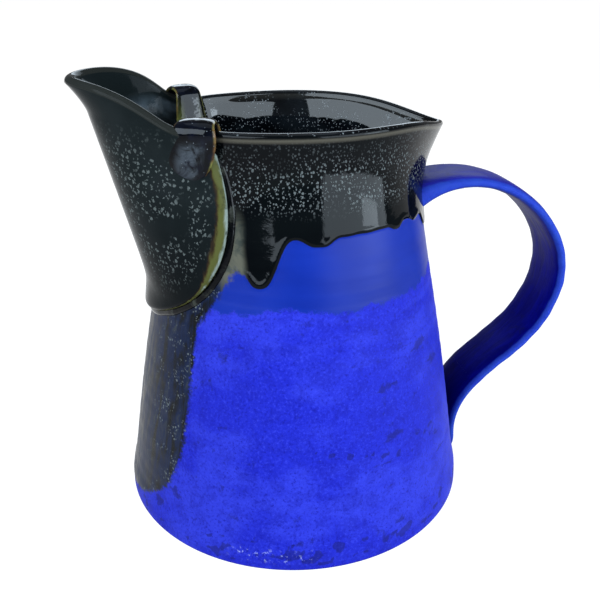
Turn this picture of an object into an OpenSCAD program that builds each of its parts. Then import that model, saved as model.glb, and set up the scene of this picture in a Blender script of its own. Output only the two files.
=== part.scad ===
// Studio pottery pitcher. A thrown conical body with a pinched rim carries a
// pouring spout, which is a slab of clay wrapped over a notch in the wall. Two
// folded clay clips hold the slab to the rim, and a pulled strap handle is
// joined opposite. Black glaze is poured over the top and runs down in drips.
//
// Millimetres, +Z up. The origin is the centre of the foot, on the table.
// The spout points along -X and the handle along +X. The clay is symmetric
// about the XZ plane, but for the spout's lip, which dips to the left, and the
// right clip, which sits a little higher. Left and right are as seen from the
// handle.

/* [Body] */
// Radius of the wall above the foot's rounded edge
foot_r = 91.4; // [84:0.2:98]
// Height of the waist, where the wall starts to draw in to the neck
waist_h = 150; // [144:1:156]
// Radius of the wall at the waist
waist_r = 62.4; // [60:0.2:65]
// Height of the rim above the table
rim_h = 200; // [196:1:204]
// Radius of the rim between the clips and the pinched corner
rim_r = 56; // [54:0.5:58]
// Thickness of the thrown wall
wall = 4; // [3.5:0.5:5]
// Thickness of the floor
floor_t = 6; // [4:0.5:10]

/* [Pinched corner over the handle] */
// How far the corner is pulled out from the round rim
pinch_out = 22; // [12:1:25]
// How far the rim drops at the corner
pinch_drop = 8.3; // [4:0.1:12]
// Half-width of the pinch, in degrees round the rim
pinch_spread = 25.6; // [20:0.2:32]

/* [Spout] */
// Height of the spout's tip
tip_h = 218.5; // [212:0.5:224]
// Reach of the tip from the centre
tip_reach = 105; // [100:0.5:108]
// Height of the lowest point of the slab's edge
chin_h = 109; // [105:1:113]
// Thickness of the slab
slab_t = 5.5; // [4.5:0.5:6]

/* [Clips] */
// Angle of each clip from the spout's axis
clip_angle = 39.5; // [38:0.5:41]
// Width of the folded strap
clip_w = 21; // [18:1:22]
// Thickness of the folded strap
clip_t = 4; // [3.5:0.5:5]
// Height of the outer leg's rounded end
clip_foot_h = 179; // [176:1:184]

/* [Handle] */
// Width of the strap
strap_w = 33; // [24:1:35]
// Thickness of the strap in the middle of its length
strap_t = 6.4; // [5:0.2:8]

/* [Glaze and joining clay] */
// Thickness of the black glaze on the outside of the wall
glaze_t = 1; // [0.8:0.1:1.4]
// Height that the black glaze runs down to between its drips
glaze_h = 156; // [152:1:160]
// Radius of the roll of joining clay round the slab's edge
roll_r = 2; // [1.5:0.5:2.5]

/* [Hidden] */

COLUMNS = 60;       // columns of points round the body
LOW_ROWS = 10;      // rows from the foot to the waist
NECK_ROWS = 8;      // rows from the waist to the rim
foot_round = 2;     // radius of the foot's edge
foot_swell = 0.8;   // how far the foot bulges past the cone
floor_round = 12;   // radius inside, between the floor and the wall
flare_fall = 28;    // depth below the rim over which a flare dies away
clip_flare = 6.5;   // how far the rim opens towards each clip
FOOT_SLOPE = -0.15; // slopes of the wall, as radius over height
WAIST_SLOPE = -0.265;
RIM_SLOPE = 0.2;

function mix(a, b, t) = a + (b - a) * t;
function ease(t) = let (c = min(1, max(0, t))) c * c * (3 - 2 * c);
function signed_pow(x, p) = sign(x) * pow(abs(x), p);
function soft_max(a, b, round) = (a + b + sqrt((a - b) ^ 2 + round ^ 2)) / 2;
function bump(x, width) = exp(-(x / width) ^ 2);
function radial(angle, r, z) = [r * cos(angle), r * sin(angle), z];

// A cubic from (x0, y0) with slope m0 to (x1, y1) with slope m1.
function cubic(x0, y0, m0, x1, y1, m1, x) =
    let (span = x1 - x0, t = (x - x0) / span)
    y0 + (y1 - y0) * ease(t)
        + span * t * (1 - t) * (m0 * (1 - t) - m1 * t);

// A point on the cubic Bezier curve p.
function bezier(p, t) =
    p[0] * (1 - t) ^ 3 + 3 * p[1] * t * (1 - t) ^ 2 + 3 * p[2] * t ^ 2 * (1 - t) + p[3] * t ^ 3;
function bezier_slope(p, t) =
    (p[1] - p[0]) * (1 - t) ^ 2 + 2 * (p[2] - p[1]) * t * (1 - t) + (p[3] - p[2]) * t ^ 2;

// Joins loops of equal length, in order, into one closed solid.
module loft(loops) {
    n = len(loops[0]);
    last = len(loops) - 1;
    polyhedron(
        [for (loop = loops) each loop],
        [
            for (i = [0:last - 1], j = [0:n - 1])
                let (a = i * n + j, b = i * n + (j + 1) % n)
                each [[a, a + n, b + n], [a, b + n, b]],
            [for (j = [0:n - 1]) j],
            [for (j = [n - 1:-1:0]) last * n + j]
        ]
    );
}

// Makes one closed shell of its children, at their own size.
module one_shell() resize([0, 0, 0]) children();

// ---- The thrown wall. Angle 0 is the handle side, 180 the spout side. ----

function off_handle(angle) = abs(angle > 180 ? angle - 360 : angle);
function rim_z(angle) =
    rim_h - pinch_drop * exp(-pow(off_handle(angle) / pinch_spread, 1.5));
function rim_flare(angle) =
    pinch_out * exp(-pow(off_handle(angle) / pinch_spread, 1.1))
        + clip_flare * bump(180 - clip_angle - off_handle(angle), 25);
function cone_r(z) =
    (z < waist_h
        ? cubic(0, foot_r, FOOT_SLOPE, waist_h, waist_r, WAIST_SLOPE, z)
        : cubic(waist_h, waist_r, WAIST_SLOPE, rim_h, rim_r, RIM_SLOPE, z))
        + foot_swell * bump(z - 8, 7);
function wall_r(angle, z) =
    cone_r(z) + rim_flare(angle) * exp(-pow(max(0, rim_z(angle) - z) / flare_fall, 1.3));

function low_z(i) = mix(foot_round, waist_h, pow(i / LOW_ROWS, 1.2));
function neck_z(angle, i) = mix(waist_h, rim_z(angle) - wall / 2, i / NECK_ROWS);
function ring(r_of, z_of, turn = 0) =
    [
        for (j = [0:COLUMNS - 1])
            let (a = (j + turn) * 360 / COLUMNS)
            radial(a, r_of(a), z_of(a))
    ];

// Rings up the outside of the wall, from the foot to the rim.
OUTER_RINGS = [
    for (t = [0, 30, 60])
        ring(function (a) cone_r(0) - foot_round * (1 - sin(t)),
            function (a) foot_round * (1 - cos(t))),
    for (i = [0:LOW_ROWS])
        ring(function (a) wall_r(a, low_z(i)), function (a) low_z(i)),
    for (i = [1:NECK_ROWS])
        ring(function (a) wall_r(a, neck_z(a, i)), function (a) neck_z(a, i))
];
LIP_RINGS = [
    for (t = [45, 90, 135])
        ring(function (a) wall_r(a, rim_z(a) - wall / 2) - wall / 2 * (1 - cos(t)),
            function (a) rim_z(a) - wall / 2 * (1 - sin(t)))
];
// Rings down the inside, from the rim to the floor.
INNER_RINGS = [
    for (i = [NECK_ROWS:-1:1])
        ring(function (a) wall_r(a, neck_z(a, i)) - wall, function (a) neck_z(a, i)),
    for (i = [LOW_ROWS:-1:3])
        ring(function (a) wall_r(a, low_z(i)) - wall, function (a) low_z(i)),
    for (t = [0:22.5:90])
        ring(function (a) cone_r(floor_t) - wall - floor_round * (1 - cos(t)),
            function (a) floor_t + floor_round * (1 - sin(t)))
];

module wall_shell() loft(concat(OUTER_RINGS, LIP_RINGS, INNER_RINGS));

// The wall's outside as one block, for cutting what is pressed onto it.
module wall_block()
    loft(concat(OUTER_RINGS, [ring(function (a) 1, function (a) rim_h - 12)]));

// ---- The spout slab. Its level sections run from a half circle in the
// wall, through psi = 0 at the front ridge, to a pointed beak at the lip. ----

neck_w = 45.5;      // half-width of the spout at the neck
beak_w = 52;        // and at its lip
neck_z0 = 190;      // height of the neck
RIDGE_SLOPE = 0.247;
ridge_foot = 75;    // reach of the ridge's straight line at ridge_z0
ridge_z0 = 125;
lip_sag = 1.47;     // how quickly the lip falls away from the tip
edge_top = 190;     // height of the top end of the slab's edge
edge_psi = 93;      // and its angle on the section
EDGE_POWER = 1.35;  // makes the edge a rounded U

function ridge_reach(z) =
    let (line = ridge_foot + RIDGE_SLOPE * (z - ridge_z0))
    soft_max(line, cone_r(min(z, ridge_z0 + 20)) + slab_t - 1.5, 2.5)
        + (tip_reach - ridge_foot - RIDGE_SLOPE * (tip_h - ridge_z0))
            * pow(max(0, (z - 203) / (tip_h - 203)), 1.5);
function spout_half_w(z) =
    neck_w
        + (z < neck_z0
            ? 20.5 * pow((neck_z0 - z) / (neck_z0 - 124), 1.35)
            : (beak_w - neck_w) * ease((z - neck_z0) / (tip_h - neck_z0)));
function nose_power(z) = 1 + 1.35 * pow(max(0, (z - 185) / (tip_h - 185)), 3);
function spout_point(psi, z, depth) =
    let (half_w = spout_half_w(z) - depth, stretch = 1 + 0.07 * ease((z - neck_z0) / 28))
    [
        depth - ridge_reach(z) + half_w * stretch * (1 - signed_pow(cos(psi), nose_power(z))),
        half_w * sin(psi),
        z
    ];

lip_dip = 9;        // lowers the lip beside the left clip and lifts it beside the right
// across runs from -1 at the left clip, through 0 at the front, to 1.
function lip_z(across) =
    let (s = across ^ 2)
    rim_h + (tip_h - rim_h) * pow(1 - s, lip_sag) + (28.7 * s + lip_dip * across ^ 3) * (1 - s)
        - slab_t / 2;
function lip_psi(across) = asin(sign(across) * pow(abs(across), 1.06));
function edge_z(across, grow) =
    edge_top - (edge_top - chin_h + grow) * pow(cos(across * 90), EDGE_POWER);
function edge_psi_at(across, grow) =
    (edge_psi + grow) * signed_pow(sin(across * 90), EDGE_POWER);

function slab_point(across, down, depth, grow) =
    spout_point(
        mix(lip_psi(across), edge_psi_at(across, grow), down),
        mix(lip_z(across), edge_z(across, grow), down),
        depth
    );

SLAB_COLUMNS = 28;
SLAB_ROWS = 12;
EDGE_ROUND = 3;     // how far the slab's edge spreads from its top to the wall

// One slice through the slab, from its edge up to the lip and down inside.
function slab_loop(across, depth, spread) =
    let (
        outer = slab_point(across, 0, 0, 0),
        inner = slab_point(across, 0, slab_t, 0),
        middle = (outer + inner) / 2,
        half = (outer - inner) / 2,
        bury = 3
    )
    [
        slab_point(across, 1, slab_t + bury, spread),
        slab_point(across, 1, slab_t * 0.5, spread),
        slab_point(across, 1, slab_t * 0.15, spread * 0.5),
        for (i = [SLAB_ROWS:-1:0]) slab_point(across, i / SLAB_ROWS, 0, 0),
        for (t = [45, 90, 135]) middle + half * cos(t) + [0, 0, slab_t / 2 * sin(t)],
        for (i = [0:SLAB_ROWS - 1])
            let (down = i / SLAB_ROWS)
            slab_point(across, down, depth + bury * ease((down - 0.6) / 0.4), 0)
    ];
module slab(depth = slab_t, spread = EDGE_ROUND)
    loft([
        for (i = [-SLAB_COLUMNS / 2:SLAB_COLUMNS / 2])
            slab_loop(i / SLAB_COLUMNS * 2, depth, spread)
    ]);

// The notch that the wall is cut to behind the slab, so that it pours.
NOTCH = [
    [35, rim_h + 20],
    for (t = [90:-7.5:-90])
        [40 * signed_pow(sin(t), 1.2), 165 - (165 - chin_h - 12) * pow(cos(t), 1.2)],
    [-35, rim_h + 20]
];
module notched_wall()
    difference() {
        wall_shell();
        rotate([90, 0, -90]) linear_extrude(150) polygon(NOTCH);
    }

// ---- Straps: the handle and the clips. ----

// A strap's cross-section: across it in y, through it in x.
function strap_section(w, t) =
    [for (a = [0:22.5:337.5]) [t / 2 * signed_pow(cos(a), 0.8), w / 2 * signed_pow(sin(a), 0.6)]];

// The section stood square to the direction along at a point (x, z) of a
// path in the XZ plane, with out as its offset from the middle.
function strap_ring(at, along, w, t) =
    let (d = along / norm(along))
    [for (p = strap_section(w, t)) [at[0] + p[0] * d[1], p[1], at[1] - p[0] * d[0]]];

// The strap rises from the wall, bows out, and comes back in to run down it.
HANDLE_TOP = [[56, 155], [80, 167], [107, 166], [129, 144]];
HANDLE_BOW = [[129, 144], [149, 123], [151, 101], [136, 78]];
HANDLE_FOOT = [[136, 78], [121, 56], [88, 48], [89, 13.4]];
HANDLE_STEPS = 12;
function strap_t_at(i) = strap_t + 2.6 * ease(1 - i / 8) - 2.6 * ease((i - 30) / 6);
HANDLE_RINGS = [
    for (i = [0:3 * HANDLE_STEPS])
        let (
            k = min(2, floor(i / HANDLE_STEPS)),
            t = i / HANDLE_STEPS - k,
            curve = [HANDLE_TOP, HANDLE_BOW, HANDLE_FOOT][k]
        )
        strap_ring(bezier(curve, t), bezier_slope(curve, t), strap_w, strap_t_at(i))
];
module strap() loft(HANDLE_RINGS);

// The clip's middle line in a radial plane: up inside the rim, over, and
// down outside the slab. x is the distance from the jug's axis.
clip_mid = 63;    // middle of the rim and slab that the clip folds over
clip_half = 6.2;    // from there to the middle of each leg
clip_lean = 2;      // how far the outer leg leans in towards its end
clip_crown = rim_h + 3.5;
CLIP_STEPS = 26;
clip_turn = 30;     // turns each clip to lie flat on the slab's side
function clip_line(t) =
    t < 0.3 ? [clip_mid - clip_half - 3 * (1 - t / 0.3), mix(181, rim_h - 1, t / 0.3)]
    : t < 0.6
        ? let (a = 180 - (t - 0.3) * 600)
            [clip_mid + clip_half * signed_pow(cos(a), 0.75),
                mix(rim_h - 1, clip_crown, pow(sin(a), 0.75))]
        : let (s = (t - 0.6) / 0.4)
            [clip_mid + clip_half - clip_lean * s, mix(rim_h - 1, clip_foot_h, s)];
function clip_width(t) =
    let (from_end = min(t / 0.12, (1 - t) / 0.22, 1))
    max(0.25, sqrt(1 - (1 - from_end) ^ 2)) * (clip_w - 5 * bump(t - 0.4, 0.2));
CLIP_RINGS = [
    for (i = [0:CLIP_STEPS])
        let (t = i / CLIP_STEPS, along = clip_line(min(1, t + 0.01)) - clip_line(max(0, t - 0.01)))
        strap_ring(clip_line(t), along, clip_width(t),
            clip_t * (0.45 + 0.55 * clip_width(t) / clip_w))
];
// side is 1 for the left clip and -1 for the right.
RIGHT_CLIP_LIFT = 1.6;  // how much higher the right clip sits than the left
module clip_strap(side)
    rotate(180 + side * clip_angle) translate([clip_mid, 0, side > 0 ? 0 : RIGHT_CLIP_LIFT])
        rotate(side * clip_turn) translate([-clip_mid, 0]) loft(CLIP_RINGS);
module clip(side)
    one_shell() difference() {
        clip_strap(side);
        notched_wall();
        slab(slab_t + 2);
    }

// ---- Glaze and joining clay. ----

// Each drip: its angle, how far it hangs, and its half-width in degrees. The
// last two lift the coat's edge behind the handle.
DRIPS = [[245.6, 21, 7.8], [234, 12, 5], [269, 3.6, 6], [307.3, 2, 4], [324.6, 2.4, 5],
    [340, 10, 8], [22, 10, 6], [44, 4, 6], [63, 13, 6], [88, 5, 7], [112, 16, 6], [128, 8, 5],
    [360, -8, 8], [0, -8, 8]];
run_h = 4;          // height of the lowest point of the run under the spout
run_half = 41;      // half-width of that run, in degrees

// A drip's outline: rounder at its foot and steeper at its sides than a bump.
function lobe(x, width) = exp(-(abs(x) / width) ^ 3);
// The height of the glaze's lower edge: drips, and one run under the spout
// that widens where it leaves the slab.
function drip_line(angle) =
    let (
        hang = [for (d = DRIPS) d[1] * lobe(angle - d[0], d[2])] * [for (d = DRIPS) 1],
        off_spout = abs(angle - 180),
        run = off_spout < run_half
            ? run_h - 19 * ln(1 - pow(off_spout / run_half, 1.5))
            : 112 + 2 * (off_spout - run_half)
    )
    min(glaze_h - hang, run, off_spout < run_half ? 112 : rim_h);

GLAZE_ROWS = 12;
function glaze_z(angle, i) =
    mix(drip_line(angle), rim_z(angle) - wall / 2 - 1, pow(i / GLAZE_ROWS, 1.3));
// A ring of the coat at row i, standing off the wall by cover times its
// thickness. Its points lie between the wall's, so that no two edges meet.
function glaze_ring(i, cover) =
    ring(function (a) wall_r(a, glaze_z(a, i)) + glaze_t * cover,
        function (a) glaze_z(a, i), 0.5);
// The coat's outside as one block, thickest along the drips.
module glaze_block()
    loft([
        ring(function (a) 1, function (a) 100, 0.5),
        glaze_ring(0, -2),
        glaze_ring(0, 0.8),
        for (i = [1:GLAZE_ROWS]) glaze_ring(i, 1.3 - 0.5 * i / GLAZE_ROWS),
        glaze_ring(GLAZE_ROWS, -2),
        ring(function (a) 1, function (a) rim_h - 20, 0.5)
    ]);

ROLL_STEPS = 44;
// The roll lies on the wall, just outside the slab's edge.
function roll_at(across) =
    let (p = slab_point(across, 1, slab_t / 2, EDGE_ROUND + 1), angle = atan2(p[1], p[0]))
    radial(angle, wall_r(angle, p[2]) + 0.2, p[2]);
function roll_ring(across) =
    let (
        at = roll_at(across),
        ahead = roll_at(across + 0.01) - at,
        out = [at[0], at[1], 0] / norm([at[0], at[1]]),
        side = cross(ahead, out) / norm(cross(ahead, out))
    )
    [for (a = [0:45:315]) at + roll_r * (cos(a) * out + sin(a) * side)];
module roll() loft([for (i = [0:ROLL_STEPS]) roll_ring(mix(-0.97, 0.97, i / ROLL_STEPS))]);

// The strap's section swollen into a soft collar from step a to step b of
// the handle, largest at the root, where the strap meets the wall. Its ends
// lie between the strap's own rings or in the wall, so that no faces meet.
function collar_rings(a, b, root, swell) =
    [
        for (i = [a:b])
            let (
                k = min(2, floor(i / HANDLE_STEPS)),
                t = i / HANDLE_STEPS - k,
                curve = [HANDLE_TOP, HANDLE_BOW, HANDLE_FOOT][k],
                grow = 0.6 + swell * (1 - abs(i - root) / (b - a)) ^ 2
            )
            strap_ring(bezier(curve, t), bezier_slope(curve, t), strap_w + grow, strap_t_at(i) + grow)
    ];
TOP_COLLAR = collar_rings(0.5, 4.5, 0.5, 6);
FOOT_COLLAR = collar_rings(31, 36, 36, 3);

// ---- Sub-parts. ----

module body() color("royalblue") one_shell() notched_wall();

module spout()
    color("darkslategray") one_shell() difference() {
        slab();
        wall_block();
    }

module left_clip() color("black") clip(1);

module right_clip() color("black") clip(-1);

module handle()
    color("mediumblue") one_shell() difference() {
        strap();
        wall_block();
    }

module spout_joint()
    color("dimgray") one_shell() difference() {
        roll();
        wall_block();
        slab();
        clip_strap(1);
        clip_strap(-1);
    }

module handle_top_joint()
    color("midnightblue") one_shell() difference() {
        loft(TOP_COLLAR);
        strap();
        wall_block();
    }

module handle_foot_joint()
    color("midnightblue") one_shell() difference() {
        loft(FOOT_COLLAR);
        strap();
        wall_block();
    }

module outer_glaze()
    color("black") one_shell() difference() {
        glaze_block();
        wall_block();
        slab(38, EDGE_ROUND + 2);
        roll();
        clip_strap(1);
        clip_strap(-1);
        loft(TOP_COLLAR);
    }

body();
spout();
left_clip();
right_clip();
handle();
spout_joint();
handle_top_joint();
handle_foot_joint();
outer_glaze();
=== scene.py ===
"""Looks of the studio pottery pitcher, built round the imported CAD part.

Shapes are worked out in millimetres, in the CAD's frame, and scaled to metres
when a mesh is made. Angles are in degrees; 0 is the handle side, 180 the spout.
"""

import math

import bpy
import numpy as np
from mathutils import Matrix, Vector, noise
from mathutils.kdtree import KDTree

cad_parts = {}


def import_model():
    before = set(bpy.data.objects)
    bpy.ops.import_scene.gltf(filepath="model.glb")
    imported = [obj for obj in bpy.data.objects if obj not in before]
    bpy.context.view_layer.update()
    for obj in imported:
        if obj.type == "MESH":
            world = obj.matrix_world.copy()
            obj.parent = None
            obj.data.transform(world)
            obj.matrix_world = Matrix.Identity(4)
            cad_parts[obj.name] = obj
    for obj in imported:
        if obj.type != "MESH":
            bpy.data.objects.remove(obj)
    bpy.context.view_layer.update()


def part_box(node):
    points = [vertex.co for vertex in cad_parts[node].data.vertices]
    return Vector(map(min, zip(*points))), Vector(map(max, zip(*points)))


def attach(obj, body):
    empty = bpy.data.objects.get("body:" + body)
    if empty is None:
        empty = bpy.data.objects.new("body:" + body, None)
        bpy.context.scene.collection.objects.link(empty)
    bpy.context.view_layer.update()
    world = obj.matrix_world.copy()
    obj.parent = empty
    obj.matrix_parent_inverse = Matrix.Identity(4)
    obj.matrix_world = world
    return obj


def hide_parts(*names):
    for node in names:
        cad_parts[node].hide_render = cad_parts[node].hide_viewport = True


MM = 0.001

# The thrown wall
FOOT_R, WAIST_H, WAIST_R, RIM_H, RIM_R = 91.4, 150.0, 62.4, 200.0, 56.0
WALL, FLOOR_T = 4.0, 6.0
FOOT_SLOPE, WAIST_SLOPE, RIM_SLOPE = -0.15, -0.265, 0.2
FOOT_ROUND, FOOT_SWELL, FLOOR_ROUND = 2.0, 0.8, 12.0
PINCH_OUT, PINCH_DROP, PINCH_SPREAD = 22.0, 8.3, 25.6
FLARE_FALL, CLIP_FLARE = 28.0, 6.5
RING_PITCH = 7.5

# The spout slab
TIP_H, TIP_REACH, CHIN_H, SLAB_T = 218.5, 105.0, 109.0, 5.5
NECK_W, BEAK_W, NECK_Z = 45.5, 52.0, 190.0
RIDGE_SLOPE, RIDGE_FOOT, RIDGE_Z = 0.247, 75.0, 125.0
LIP_SHOULDER, LIP_DIP = 28.7, 9.0
LIP_SAG, EDGE_TOP, EDGE_PSI, EDGE_POWER, EDGE_ROUND = 1.47, 190.0, 93.0, 1.35, 3.0

# Clips and handle
CLIP_ANGLE, CLIP_TURN, CLIP_MID, CLIP_HALF, CLIP_LEAN = 39.5, 30.0, 63.0, 6.2, 2.0
CLIP_W, CLIP_T, CLIP_FOOT_H, CLIP_CROWN = 20.5, 4.0, 179.0, 203.5
RIGHT_CLIP_LIFT, RIGHT_CLIP_WIDTH = 1.6, 0.82
STRAP_W, STRAP_T, STRAP_TAPER, FOOT_TAIL = 33.0, 6.4, 2.6, 11.5

# The handle's middle line as three curves in x and z; HANDLE_STEPS count along each
HANDLE_STEPS = 12
HANDLE = np.array([
    [[56, 155], [80, 167], [107, 166], [129, 144]],
    [[129, 144], [149, 123], [151, 101], [136, 78]],
    [[136, 78], [121, 56], [88, 48], [89, 13.4]],
], float)

# The black coat: each drip's angle, how far it hangs, and its half-width. Over the
# handle the edge lies higher, so that drip is negative; it is given at 0 and at 360.
GLAZE_H = 156.0
DRIPS = [
    (245.6, 21, 7.8), (234, 12, 5), (269, 3.6, 6), (307.3, 2, 4), (324.6, 2.4, 5),
    (340, 10, 8), (22, 10, 6), (44, 4, 6), (63, 13, 6), (88, 5, 7), (112, 16, 6),
    (128, 8, 5), (360, -8, 8), (0, -8, 8),
]
RUN_H, RUN_HALF, RUN_TOP = 4.0, 41.0, 112.0

# The roll of joining clay
ROLL_R = 1.5


# ---- Curves and small functions ----

def mix(a, b, t):
    return a + (b - a) * t


def ease(t):
    c = np.clip(t, 0, 1)
    return c * c * (3 - 2 * c)


def signed_pow(x, p):
    return np.sign(x) * np.abs(x) ** p


def bump(x, width):
    return np.exp(-(x / width) ** 2)


def cos_deg(a):
    return np.cos(np.radians(a))


def sin_deg(a):
    return np.sin(np.radians(a))


def cubic(x0, y0, m0, x1, y1, m1, x):
    span = x1 - x0
    t = (x - x0) / span
    return y0 + (y1 - y0) * ease(t) + span * t * (1 - t) * (m0 * (1 - t) - m1 * t)


def bezier(p, t):
    return (p[0] * (1 - t) ** 3 + 3 * p[1] * t * (1 - t) ** 2
            + 3 * p[2] * t ** 2 * (1 - t) + p[3] * t ** 3)


def bezier_slope(p, t):
    return ((p[1] - p[0]) * (1 - t) ** 2 + 2 * (p[2] - p[1]) * t * (1 - t)
            + (p[3] - p[2]) * t ** 2)


def waves(x, seed, count, lowest, highest):
    """A smooth, repeatable, uneven line of about unit height, with a period of 360 in x."""
    pick = np.random.default_rng(seed)
    total = np.zeros_like(x, float)
    for _ in range(count):
        times = int(pick.integers(lowest, highest))
        phase = pick.uniform(0, 2 * math.pi)
        total += np.sin(np.radians(times * x) + phase) * pick.uniform(0.4, 1)
    return total / math.sqrt(count)


# ---- The thrown wall ----

def off_handle(angle):
    a = np.mod(angle, 360)
    return np.where(a > 180, 360 - a, a)


def rim_z(angle):
    return RIM_H - PINCH_DROP * np.exp(-(off_handle(angle) / PINCH_SPREAD) ** 1.5)


def rim_flare(angle):
    return (PINCH_OUT * np.exp(-(off_handle(angle) / PINCH_SPREAD) ** 1.1)
            + CLIP_FLARE * bump(180 - CLIP_ANGLE - off_handle(angle), 25))


def cone_r(z):
    low = cubic(0, FOOT_R, FOOT_SLOPE, WAIST_H, WAIST_R, WAIST_SLOPE, np.minimum(z, WAIST_H))
    high = cubic(WAIST_H, WAIST_R, WAIST_SLOPE, RIM_H, RIM_R, RIM_SLOPE, np.maximum(z, WAIST_H))
    return np.where(z < WAIST_H, low, high) + FOOT_SWELL * bump(z - 8, 7)


def wall_r(angle, z):
    fall = (np.maximum(0, rim_z(angle) - z) / FLARE_FALL) ** 1.3
    return cone_r(z) + rim_flare(angle) * np.exp(-fall)


def throwing_rings(angle, z):
    """How far the thrower's fingers left the wall in or out, up to about 0.12 mm."""
    turns = (z + angle / 360 * RING_PITCH) * 2 * math.pi
    rings = (0.13 * np.sin(turns / RING_PITCH) + 0.09 * np.sin(turns / 11.7 + 1)
             + 0.05 * np.sin(turns / 3.1))
    return rings * 0.45 * ease((165 - z) / 60) * ease(z / 12)


def drip_line(angle):
    a = np.mod(angle, 360)
    hang = sum(h * np.exp(-(np.abs(a - at) / w) ** 3) for at, h, w in DRIPS)
    off = np.abs(a - 180)
    inside = np.clip(off / RUN_HALF, 0, 0.9999)
    run = np.where(off < RUN_HALF, RUN_H - 19 * np.log(1 - inside ** 1.5),
                   RUN_TOP + 2 * (off - RUN_HALF))
    line = np.minimum(np.minimum(GLAZE_H - hang, run), np.where(off < RUN_HALF, RUN_TOP, RIM_H))
    return line + 0.3 * waves(a, 3, 6, 15, 45)


# ---- The spout slab: across runs from -1 at the left clip to 1 at the right ----

def ridge_reach(z):
    line = RIDGE_FOOT + RIDGE_SLOPE * (z - RIDGE_Z)
    wall = cone_r(np.minimum(z, RIDGE_Z + 20)) + SLAB_T - 1.5
    reach = (line + wall + np.sqrt((line - wall) ** 2 + 2.5 ** 2)) / 2
    tip = TIP_REACH - RIDGE_FOOT - RIDGE_SLOPE * (TIP_H - RIDGE_Z)
    return reach + tip * np.maximum(0, (z - 203) / (TIP_H - 203)) ** 1.5


def spout_half_w(z):
    below = 20.5 * (np.maximum(0, NECK_Z - z) / (NECK_Z - 124)) ** 1.35
    above = (BEAK_W - NECK_W) * ease((z - NECK_Z) / (TIP_H - NECK_Z))
    return NECK_W + np.where(z < NECK_Z, below, above)


def spout_point(psi, z, depth):
    nose = 1 + 1.35 * np.maximum(0, (z - 185) / (TIP_H - 185)) ** 3
    half_w = spout_half_w(z) - depth
    stretch = 1 + 0.07 * ease((z - NECK_Z) / 28)
    x = depth - ridge_reach(z) + half_w * stretch * (1 - signed_pow(cos_deg(psi), nose))
    return np.stack([x, half_w * sin_deg(psi), z + 0 * x], -1)


def lip_z(across):
    s = across ** 2
    sides = (LIP_SHOULDER * s + LIP_DIP * across ** 3) * (1 - s)
    return RIM_H + (TIP_H - RIM_H) * (1 - s) ** LIP_SAG + sides - SLAB_T / 2


def lip_psi(across):
    return np.degrees(np.arcsin(np.sign(across) * np.abs(across) ** 1.06))


def slab_point(across, down, depth, grow):
    bottom = EDGE_TOP - (EDGE_TOP - CHIN_H + grow) * np.maximum(0, cos_deg(across * 90)) ** EDGE_POWER
    side = (EDGE_PSI + grow) * signed_pow(sin_deg(across * 90), EDGE_POWER)
    return spout_point(mix(lip_psi(across), side, down), mix(lip_z(across), bottom, down), depth)


# ---- Meshes ----

SHARP_ANGLE = 50


def shade(mesh):
    mesh.shade_smooth()
    mesh.set_sharp_from_angle(angle=math.radians(SHARP_ANGLE))


def make_mesh(name, points, faces):
    """A smooth-shaded object from points in mm and lists of faces."""
    mesh = bpy.data.meshes.new(name)
    flat = [face for group in faces for face in group]
    mesh.from_pydata((np.asarray(points) * MM).tolist(), [], flat)
    mesh.validate()
    mesh.update()
    shade(mesh)
    piece = bpy.data.objects.new(name, mesh)
    bpy.context.scene.collection.objects.link(piece)
    return piece


def grid_faces(rows, columns, closed):
    """Quads between rows of points; closed joins the last column to the first."""
    across = columns if closed else columns - 1
    i, j = np.meshgrid(np.arange(rows - 1), np.arange(across), indexing="ij")
    this_row, next_row, k = i * columns, (i + 1) * columns, (j + 1) % columns
    quads = np.stack([this_row + j, this_row + k, next_row + k, next_row + j], -1)
    return quads.reshape(-1, 4).tolist()


def loft(name, loops):
    """A closed solid through loops of equal length, each cap a fan round its own middle."""
    loops = np.asarray(loops)
    rows, columns = loops.shape[:2]
    points = np.concatenate([loops.reshape(-1, 3), [loops[0].mean(0)], [loops[-1].mean(0)]])
    first, last = rows * columns, rows * columns + 1
    fans = [[first, (j + 1) % columns, j] for j in range(columns)]
    fans += [[last, first - columns + j, first - columns + (j + 1) % columns] for j in range(columns)]
    return make_mesh(name, points, [grid_faces(rows, columns, True), fans])


def signed_volume(piece):
    mesh = piece.data
    mesh.calc_loop_triangles()
    points = np.empty(len(mesh.vertices) * 3)
    mesh.vertices.foreach_get("co", points)
    points = points.reshape(-1, 3)
    corners = np.empty(len(mesh.loop_triangles) * 3, np.int32)
    mesh.loop_triangles.foreach_get("vertices", corners)
    a, b, c = points[corners.reshape(-1, 3)].transpose(1, 0, 2)
    return float(np.einsum("ij,ij->i", a, np.cross(b, c)).sum() / 6)


def face_outwards(piece):
    if signed_volume(piece) < 0:
        piece.data.flip_normals()
    return piece


def cut(piece, tool):
    """Takes tool away from piece; the new mesh starts with no materials."""
    modifier = piece.modifiers.new("cut", "BOOLEAN")
    modifier.operation = "DIFFERENCE"
    modifier.solver = "MANIFOLD"
    modifier.object = tool
    graph = bpy.context.evaluated_depsgraph_get()
    mesh = bpy.data.meshes.new_from_object(piece.evaluated_get(graph))
    piece.modifiers.clear()
    piece.data = mesh
    mesh.materials.clear()
    shade(mesh)
    return piece


def drop(piece):
    bpy.data.objects.remove(piece, do_unlink=True)


def points_of(piece):
    points = np.empty(len(piece.data.vertices) * 3)
    piece.data.vertices.foreach_get("co", points)
    return points.reshape(-1, 3) / MM


def set_points(piece, points):
    piece.data.vertices.foreach_set("co", (points * MM).ravel())
    piece.data.update()


def set_value(piece, name, values):
    """Stores one number for each point, for the materials to read."""
    layer = piece.data.attributes.new(name, "FLOAT", "POINT")
    layer.data.foreach_set("value", np.asarray(values, np.float32))


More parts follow.
